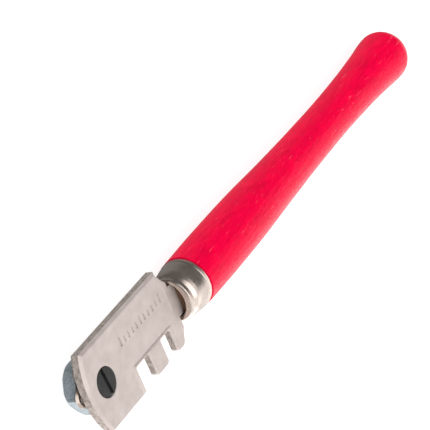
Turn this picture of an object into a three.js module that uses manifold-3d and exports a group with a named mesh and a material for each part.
// A hand-held glass cutter with a six-wheel turret, lying on its handle.
//
// Lengths are millimetres. The tool is drawn about the turret screw: X runs along the handle
// towards the cutting tip, Y across the head towards the breaker teeth, and Z out of the front
// face of the head. The handle's axis is the line Y = 0, Z = 0, through the middle of the slab.
// At the end the whole tool is lifted so that the origin lies under the middle of its box.

import * as THREE from 'three';
import { mergeVertices } from 'three/addons/utils/BufferGeometryUtils.js';
import Module from 'manifold-3d';

const wasm = await Module();
wasm.setup();

// ---------------------------------------------------------------- driving dimensions

const GAP = 0.3; // between fixed pieces that touch on the real tool
const RUNNING = 0.08; // radial clearance of a shaft in its hole
const END_PLAY = 0.05; // axial clearance between stacked pieces

const SLAB = 1.5; // thickness of the head's slab, teeth and tang
const PAD = 0.55; // height of the raised pad above the slab
const FRONT = SLAB / 2; // level of the slab's front
const BACK = -SLAB / 2; // level of the slab's back
const FACE = FRONT + PAD; // level of the pad's face

const TOP_EDGE = -7.4; // straight edge opposite the teeth
const TEETH_EDGE = 7.65; // tips of the teeth and the corner beside the tip
const TIP_X = 5.1; // furthest point of the rounded tip
const TIP_R = 15.7; // radius of the rounded tip
const REAR_X = -22.8; // rear end of the top edge

const NOTCH_ROOT = 3.1;
const NOTCH_1 = { front: -8.75, rear: -13.15 };
const NOTCH_2 = { front: -17.45, rear: -20.6 };
const TOOTH_REAR = -23.4; // rear corner of the last tooth's tip
const TOOTH_ROUND = 0.5; // corner cut on the tooth tips
const NECK_X = -24.65; // where the head stops, just before the ferrule
const NECK_TOP = -3.95;
const NECK_LOW = 4.95;
const SHOULDER_X = -23.9; // knee of the rear corner, behind the top edge
const SHOULDER_Y = -4.8;
const REAR_STEP = 0.9; // depth of the square end of the top edge

const PAD_INSET = 0.45; // how far the pad's sloping side runs in
const PAD_LOW_EDGE = 2.07; // edge of the pad beside the teeth
const PAD_REAR = -22.0;
const PAD_SHOULDER = -6.8; // where the pad widens to cover the whole tip

const TANG_HALF = 2.7; // half width of the tang at the ferrule
const TANG_TIP_HALF = 1.1;
const TANG_END = -62;

const SCREW_HEAD_R = 2.58;
const SCREW_HEAD = 1.2; // height of the screw's head
const SCREW_SUNK = 0.02; // how far its top lies below the pad's face
const SCREW_SHANK_R = 1.5;
const SLOT_WIDTH = 0.7;
const SLOT_DEPTH = 0.55;
const SLOT_TURN = THREE.MathUtils.degToRad(4.6);

const TURRET_FRONT = -1.85;
const TURRET_BACK = -4.4;
const TURRET_R = 5.2; // corner radius of the hexagon
const TURRET_CHAMFER_R = 4.6; // radius of the turned rear face
const TURRET_TURN = THREE.MathUtils.degToRad(2);
const WHEEL_COUNT = 6;

const WHEEL_ORBIT = 4.0;
const WHEEL_R = 1.85;
const WHEEL_FLAT_R = 1.5; // where the sharpening bevel starts
const WHEEL_THICK = 0.7;
const PIN_R = 0.6;
const PIN_HEAD_R = 1.0;
const PIN_HEAD = 0.15;
const BUSH_R = 1.98;
const WASHER = 0.25;

const FERRULE_LIP = -24.95;
const FERRULE_REAR = -31.1;
const FERRULE_END_WALL = -26.2; // inside of its front end
const SHEET = 0.4; // thickness of the ferrule's sheet
const MOUTH_R = 3.25;

const TAIL_X = -121.15; // end of the handle
const BULB_X = -116.7; // thickest place of the flared end
const BULB_R = 5.36;
const STUB_X = -27.5; // front end of the wood, inside the ferrule
const STUB_R = 3.95;

const ROUND = 40; // sides of the large round pieces
const SMALL_ROUND = 24; // sides of the wheels, pins and screw
const ARC_STEPS = 14; // along the rounded tip
const SIDE_STEPS = 26; // along the handle
const DOME_STEPS = 8; // round the handle's end

// ---------------------------------------------------------------- materials

const finish = (color, roughness, metalness) =>
  new THREE.MeshStandardMaterial({ color, roughness, metalness });

const redPaint = finish(0xe8103f, 0.35, 0.0);
const nickelSheet = finish(0xc9c3bf, 0.18, 1.0);
const platedCasting = finish(0xc4b8b0, 0.45, 1.0);
const zincPlate = finish(0x9aa4ab, 0.4, 1.0);
const blackedSteel = finish(0x33322f, 0.5, 0.8);
const wheelSteel = finish(0xa89a92, 0.3, 1.0);
const pinSteel = finish(0xb5b5b5, 0.3, 1.0);
const springSteel = finish(0x6e7074, 0.4, 1.0);

// ---------------------------------------------------------------- solids

function toManifold(geometry) {
  const bare = geometry.clone();
  bare.deleteAttribute('normal');
  bare.deleteAttribute('uv');
  const merged = mergeVertices(bare, 1e-5);
  return new wasm.Manifold(
    new wasm.Mesh({
      numProp: 3,
      vertProperties: new Float32Array(merged.attributes.position.array),
      triVerts: new Uint32Array(merged.index.array),
    })
  );
}

function fromManifold(solid) {
  const mesh = solid.getMesh();
  const geometry = new THREE.BufferGeometry();
  geometry.setAttribute('position', new THREE.BufferAttribute(mesh.vertProperties, 3));
  geometry.setIndex(new THREE.BufferAttribute(mesh.triVerts, 1));
  return geometry;
}

// A closed solid through a stack of outlines with equal point counts, from the lowest up.
function stack(rings) {
  const count = rings[0].points.length;
  const positions = [];
  for (const { points, z } of rings) {
    for (const p of points) positions.push(p.x, p.y, z);
  }
  const index = [];
  for (let level = 0; level < rings.length - 1; level++) {
    for (let i = 0; i < count; i++) {
      const a = level * count + i;
      const b = level * count + ((i + 1) % count);
      index.push(a, b, b + count, a, b + count, a + count);
    }
  }
  const top = (rings.length - 1) * count;
  for (const [a, b, c] of THREE.ShapeUtils.triangulateShape(rings[0].points, [])) {
    index.push(a, c, b);
  }
  for (const [a, b, c] of THREE.ShapeUtils.triangulateShape(rings.at(-1).points, [])) {
    index.push(top + a, top + b, top + c);
  }
  const geometry = new THREE.BufferGeometry();
  geometry.setAttribute('position', new THREE.Float32BufferAttribute(positions, 3));
  geometry.setIndex(index);
  return geometry;
}

const prism = (points, low, high) => stack([{ points, z: low }, { points, z: high }]);

// A round solid about Z from [radius, z] pairs, listed upwards along its outside.
function turnedAboutZ(profile, sides) {
  const points = profile.map(([r, z]) => new THREE.Vector2(r, z));
  return new THREE.LatheGeometry(points, sides).rotateX(Math.PI / 2);
}

// A round solid about X from [radius, x] pairs, listed towards the tip along its outside.
function turnedAboutX(profile, sides) {
  return turnedAboutZ(profile, sides).rotateY(Math.PI / 2);
}

function ringAboutZ(inner, outer, low, high, sides) {
  const profile = [[inner, low], [outer, low], [outer, high], [inner, high], [inner, low]];
  return turnedAboutZ(profile, sides);
}

const rodAboutZ = (radius, low, high, sides) =>
  turnedAboutZ([[0, low], [radius, low], [radius, high], [0, high]], sides);

function piece(name, geometry, material) {
  const mesh = new THREE.Mesh(geometry, material);
  mesh.name = name;
  return mesh;
}

// ---------------------------------------------------------------- head

const at = (x, y) => new THREE.Vector2(x, y);

// The tip's arc between two heights, listed towards the teeth.
function tipArc(inset, low, high) {
  const centre = TIP_X - TIP_R;
  const radius = TIP_R - inset;
  const start = Math.asin(low / radius);
  const end = Math.asin(high / radius);
  const points = [];
  for (let i = 0; i <= ARC_STEPS; i++) {
    const angle = start + ((end - start) * i) / ARC_STEPS;
    points.push(at(centre + radius * Math.cos(angle), radius * Math.sin(angle)));
  }
  return points;
}

function slabOutline() {
  return [
    ...tipArc(0, TOP_EDGE, TEETH_EDGE),
    at(NOTCH_1.front, TEETH_EDGE),
    at(NOTCH_1.front, NOTCH_ROOT),
    at(NOTCH_1.rear, NOTCH_ROOT),
    at(NOTCH_1.rear, TEETH_EDGE - TOOTH_ROUND),
    at(NOTCH_1.rear - TOOTH_ROUND, TEETH_EDGE),
    at(NOTCH_2.front + TOOTH_ROUND, TEETH_EDGE),
    at(NOTCH_2.front, TEETH_EDGE - TOOTH_ROUND),
    at(NOTCH_2.front, NOTCH_ROOT),
    at(NOTCH_2.rear, NOTCH_ROOT),
    at(NOTCH_2.rear, TEETH_EDGE - TOOTH_ROUND / 2),
    at(NOTCH_2.rear - TOOTH_ROUND / 2, TEETH_EDGE),
    at(TOOTH_REAR + TOOTH_ROUND, TEETH_EDGE),
    at(TOOTH_REAR, TEETH_EDGE - TOOTH_ROUND),
    at(NECK_X, NECK_LOW),
    at(NECK_X, NECK_TOP),
    at(SHOULDER_X, SHOULDER_Y),
    at(REAR_X, TOP_EDGE + REAR_STEP),
    at(REAR_X, TOP_EDGE),
  ];
}

// The pad's outline at a given distance in from its foot.
function padOutline(inset) {
  return [
    ...tipArc(inset, TOP_EDGE + inset, TEETH_EDGE - inset),
    at(PAD_SHOULDER - PAD_INSET + inset, TEETH_EDGE - inset),
    at(PAD_SHOULDER - PAD_INSET + inset, PAD_LOW_EDGE + PAD_INSET - inset),
    at(PAD_REAR - PAD_INSET + inset, PAD_LOW_EDGE + PAD_INSET - inset),
    at(PAD_REAR - PAD_INSET + inset, TOP_EDGE + inset),
  ];
}

function headCasting() {
  const slab = toManifold(prism(slabOutline(), BACK, FRONT));
  const pad = toManifold(
    stack([
      { points: padOutline(0), z: 0 },
      { points: padOutline(0), z: FRONT },
      { points: padOutline(PAD_INSET), z: FACE },
    ])
  );
  const tang = toManifold(
    prism(
      [
        at(NECK_X + 1, TANG_HALF),
        at(TANG_END, TANG_TIP_HALF),
        at(TANG_END, -TANG_TIP_HALF),
        at(NECK_X + 1, -TANG_HALF),
      ],
      BACK,
      FRONT
    )
  );
  const counterbore = toManifold(
    rodAboutZ(SCREW_HEAD_R + RUNNING, FACE - SCREW_HEAD - END_PLAY, FACE + 1, ROUND)
  );
  const hole = toManifold(
    rodAboutZ(SCREW_SHANK_R + RUNNING, BACK - 1, FACE, SMALL_ROUND)
  );
  return slab.add(pad).add(tang).subtract(counterbore).subtract(hole);
}

// ---------------------------------------------------------------- turret and screw

function turretScrew() {
  const top = FACE - SCREW_SUNK;
  const under = FACE - SCREW_HEAD;
  const end = TURRET_BACK + END_PLAY;
  const edge = 0.12;
  const body = toManifold(
    turnedAboutZ(
      [
        [0, end],
        [SCREW_SHANK_R - edge, end],
        [SCREW_SHANK_R, end + edge],
        [SCREW_SHANK_R, under],
        [SCREW_HEAD_R, under],
        [SCREW_HEAD_R, top - edge],
        [SCREW_HEAD_R - edge, top],
        [0, top],
      ],
      SMALL_ROUND
    )
  );
  const slot = toManifold(
    new THREE.BoxGeometry(SLOT_WIDTH, 3 * SCREW_HEAD_R, 2 * SLOT_DEPTH)
      .rotateZ(SLOT_TURN)
      .translate(0, 0, top)
  );
  return body.subtract(slot);
}

const corner = (i) => TURRET_TURN + (i * 2 * Math.PI) / WHEEL_COUNT;

function turretPlate() {
  const hexagon = [];
  for (let i = 0; i < WHEEL_COUNT; i++) {
    hexagon.push(at(TURRET_R * Math.cos(corner(i)), TURRET_R * Math.sin(corner(i))));
  }
  const ease = 0.2; // chamfer of the corners at the front
  const wall = TURRET_R + 0.1; // just outside the hexagon
  const turned = toManifold(
    turnedAboutZ(
      [
        [0, TURRET_BACK],
        [TURRET_CHAMFER_R, TURRET_BACK],
        [wall, TURRET_BACK + wall - TURRET_CHAMFER_R],
        [wall, TURRET_FRONT - ease],
        [TURRET_R - ease, TURRET_FRONT],
        [0, TURRET_FRONT],
      ],
      ROUND
    )
  );
  let plate = toManifold(prism(hexagon, TURRET_BACK - 1, TURRET_FRONT + 1)).intersect(turned);
  const bore = rodAboutZ(SCREW_SHANK_R + RUNNING, TURRET_BACK - 1, TURRET_FRONT + 1, SMALL_ROUND);
  plate = plate.subtract(toManifold(bore));
  for (let i = 0; i < WHEEL_COUNT; i++) {
    const pinHole = rodAboutZ(PIN_R + RUNNING, TURRET_BACK - 1, TURRET_FRONT + 1, SMALL_ROUND)
      .translate(WHEEL_ORBIT * Math.cos(corner(i)), WHEEL_ORBIT * Math.sin(corner(i)), 0);
    plate = plate.subtract(toManifold(pinHole));
  }
  return plate;
}

function cuttingWheel() {
  const half = WHEEL_THICK / 2;
  const bore = PIN_R + RUNNING;
  return turnedAboutZ(
    [
      [bore, -half],
      [WHEEL_FLAT_R, -half],
      [WHEEL_R, 0],
      [WHEEL_FLAT_R, half],
      [bore, half],
      [bore, -half],
    ],
    SMALL_ROUND
  );
}

function wheelPin() {
  const wheelTop = TURRET_FRONT + 2 * END_PLAY + WHEEL_THICK;
  return turnedAboutZ(
    [
      [0, TURRET_BACK],
      [PIN_R, TURRET_BACK],
      [PIN_R, wheelTop],
      [PIN_HEAD_R, wheelTop],
      [PIN_HEAD_R, wheelTop + PIN_HEAD],
      [0, wheelTop + PIN_HEAD],
    ],
    SMALL_ROUND
  );
}

// ---------------------------------------------------------------- ferrule and handle

// Outside of the ferrule from its rear rim, over the shoulder and the groove, to its rolled lip.
const FERRULE_CONE = [
  [5.08, FERRULE_REAR],
  [4.99, -30.0],
  [4.8, -28.5],
  [4.55, -27.0],
];
const FERRULE_FRONT = [
  [4.36, -26.45],
  [4.05, -26.05],
  [3.85, -25.85],
  [3.8, -25.6],
  [3.88, -25.35],
  [3.88, -25.15],
  [3.7, FERRULE_LIP],
];

const insideCone = ([r, x]) => [r - SHEET, x];

function ferrule() {
  const inside = [
    [MOUTH_R, FERRULE_LIP],
    [MOUTH_R, FERRULE_END_WALL],
    ...FERRULE_CONE.toReversed().map(insideCone),
  ];
  return turnedAboutX([...FERRULE_CONE, ...FERRULE_FRONT, ...inside, FERRULE_CONE[0]], ROUND);
}

function handle() {
  const side = new THREE.SplineCurve([
    at(5.15, FERRULE_REAR - GAP),
    at(5.27, -42),
    at(5.14, -54),
    at(4.7, -66),
    at(4.38, -78.5),
    at(4.27, -91),
    at(4.48, -102),
    at(4.9, -110),
    at(5.25, -114.2),
    at(BULB_R, BULB_X),
  ]).getPoints(SIDE_STEPS);
  const dome = [];
  for (let i = 1; i <= DOME_STEPS; i++) {
    const angle = (i / DOME_STEPS) * (Math.PI / 2);
    dome.push(at(BULB_R * Math.cos(angle), BULB_X + (TAIL_X - BULB_X) * Math.sin(angle)));
  }
  dome[DOME_STEPS - 1].x = 0;
  const outside = [...side, ...dome].reverse().map((p) => [p.x, p.y]);
  const stubAt = ([r, x]) => [r - SHEET - GAP, x];
  const stub = [
    stubAt([FERRULE_CONE[0][0], FERRULE_REAR - GAP]),
    stubAt(FERRULE_CONE[1]),
    [STUB_R, STUB_X],
    [0, STUB_X],
  ];
  const wood = toManifold(turnedAboutX([...outside, ...stub], ROUND));
  const socket = toManifold(
    prism(
      [
        at(STUB_X + 1, TANG_HALF + GAP),
        at(TANG_END - GAP, TANG_TIP_HALF + GAP),
        at(TANG_END - GAP, -TANG_TIP_HALF - GAP),
        at(STUB_X + 1, -TANG_HALF - GAP),
      ],
      BACK - GAP,
      FRONT + GAP
    )
  );
  return wood.subtract(socket);
}

// ---------------------------------------------------------------- assembly

const tool = new THREE.Group();
tool.add(piece('handle', fromManifold(handle()), redPaint));
tool.add(piece('ferrule', ferrule(), nickelSheet));
tool.add(piece('head_casting', fromManifold(headCasting()), platedCasting));
tool.add(piece('turret_screw', fromManifold(turretScrew()), blackedSteel));

const washerTop = BACK - END_PLAY;
const washerLow = washerTop - WASHER;
const hole = SCREW_SHANK_R + RUNNING;
const washer = ringAboutZ(hole, BUSH_R, washerLow, washerTop, SMALL_ROUND);
tool.add(piece('spring_washer', washer, springSteel));
const bush = ringAboutZ(hole, BUSH_R, TURRET_FRONT + END_PLAY, washerLow - END_PLAY, SMALL_ROUND);
tool.add(piece('hub_bush', bush, pinSteel));

tool.add(piece('turret_plate', fromManifold(turretPlate()), zincPlate));
const wheelLevel = TURRET_FRONT + END_PLAY + WHEEL_THICK / 2;
for (let i = 0; i < WHEEL_COUNT; i++) {
  const station = new THREE.Group();
  station.position.set(WHEEL_ORBIT * Math.cos(corner(i)), WHEEL_ORBIT * Math.sin(corner(i)), 0);
  const wheel = piece(`cutting_wheel_${i + 1}`, cuttingWheel(), wheelSteel);
  wheel.position.z = wheelLevel;
  station.add(wheel);
  station.add(piece(`wheel_pin_${i + 1}`, wheelPin(), pinSteel));
  tool.add(station);
}

// The origin is moved under the middle of the tool's box, on the surface that it lies on.
tool.updateMatrixWorld(true);
const box = new THREE.Box3().setFromObject(tool, true);
const centre = box.getCenter(new THREE.Vector3());
tool.position.set(-centre.x, -centre.y, -box.min.z);

export default tool;
